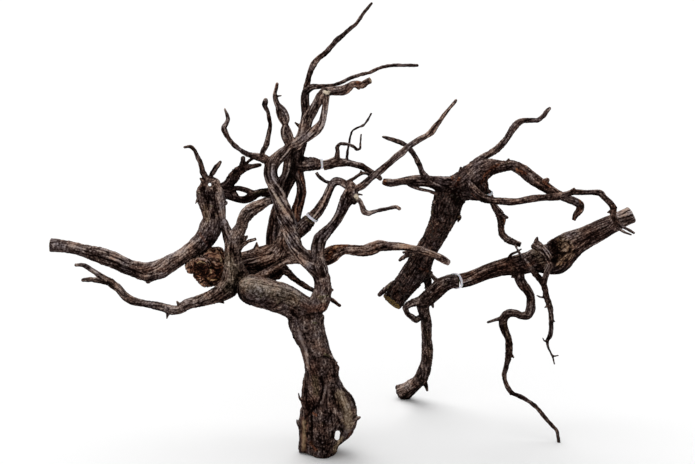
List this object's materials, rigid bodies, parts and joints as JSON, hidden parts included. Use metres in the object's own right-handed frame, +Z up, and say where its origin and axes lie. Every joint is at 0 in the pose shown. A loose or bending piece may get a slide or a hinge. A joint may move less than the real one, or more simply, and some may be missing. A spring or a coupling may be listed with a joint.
{
  "type": "driftwood",
  "caption": "Branching driftwood composition: a flared stump, a crossing of weathered roots and branches held by cable ties, on a stump, a leg and a prop twig.",
  "frame": {"origin": "centre of the stump's base, on the floor", "axes": "+Z up, +X to the picture's right along the composition's length, +Y away from the camera"},
  "size_m": [0.9732, 0.317, 0.7568],
  "materials": {
    "grey_wood": "weathered grey-brown, dry and matte",
    "dark_wood": "nearly black weathered wood, matte",
    "pale_wood": "bleached grain, matte",
    "chestnut_wood": "orange-brown bared wood under grey, matte",
    "tie_nylon": "white nylon, satin"
  },
  "bodies": {
    "root": {"trunk": "grey_wood", "left_knee": "pale_wood", "front_limb": "grey_wood", "right_stem": "grey_wood", "left_stem": "pale_wood", "inner_strand": "grey_wood", "crown_branch": "grey_wood", "crown_hook": "grey_wood", "loop_stem": "grey_wood", "low_side_branch": "grey_wood", "high_side_branch": "dark_wood", "long_switch": "pale_wood", "bent_twig": "dark_wood", "cut_twig": "grey_wood", "tied_stub": "dark_wood", "tied_branch": "grey_wood", "black_twig": "dark_wood", "arc_limb": "chestnut_wood", "dark_stem": "dark_wood", "left_whip": "dark_wood", "right_whip": "dark_wood", "short_stub": "dark_wood", "slim_branch": "grey_wood", "loop_twig": "grey_wood", "whip_twig": "dark_wood", "elbow_stem": "pale_wood", "low_branch": "pale_wood", "low_fork_upper": "grey_wood", "low_fork_lower": "grey_wood", "burl_log": "chestnut_wood", "right_branch": "chestnut_wood", "hanging_branch": "dark_wood", "knee_root": "grey_wood", "rotten_upright": "grey_wood", "left_arm": "grey_wood", "elbow_fork": "dark_wood", "elbow_twig": "grey_wood", "upright_twig_left": "dark_wood", "upright_twig_right": "dark_wood", "bridge_limb": "dark_wood", "bridge_arm": "dark_wood", "right_trunk": "dark_wood", "bowed_branch": "grey_wood", "broken_arm": "grey_wood", "arched_twig": "pale_wood", "wavy_branch": "grey_wood", "reaching_arm": "grey_wood", "forked_tip": "dark_wood", "right_log": "grey_wood", "leg": "grey_wood", "leg_loop": "grey_wood", "prop_twig": "grey_wood", "prop_tip": "dark_wood", "hook_strand": "grey_wood", "drop_twig": "dark_wood", "hanging_twig": "dark_wood", "lower_tie": "tie_nylon", "upper_tie": "tie_nylon", "log_tie": "tie_nylon", "crown_tie": "tie_nylon"}
  },
  "joints": []
}
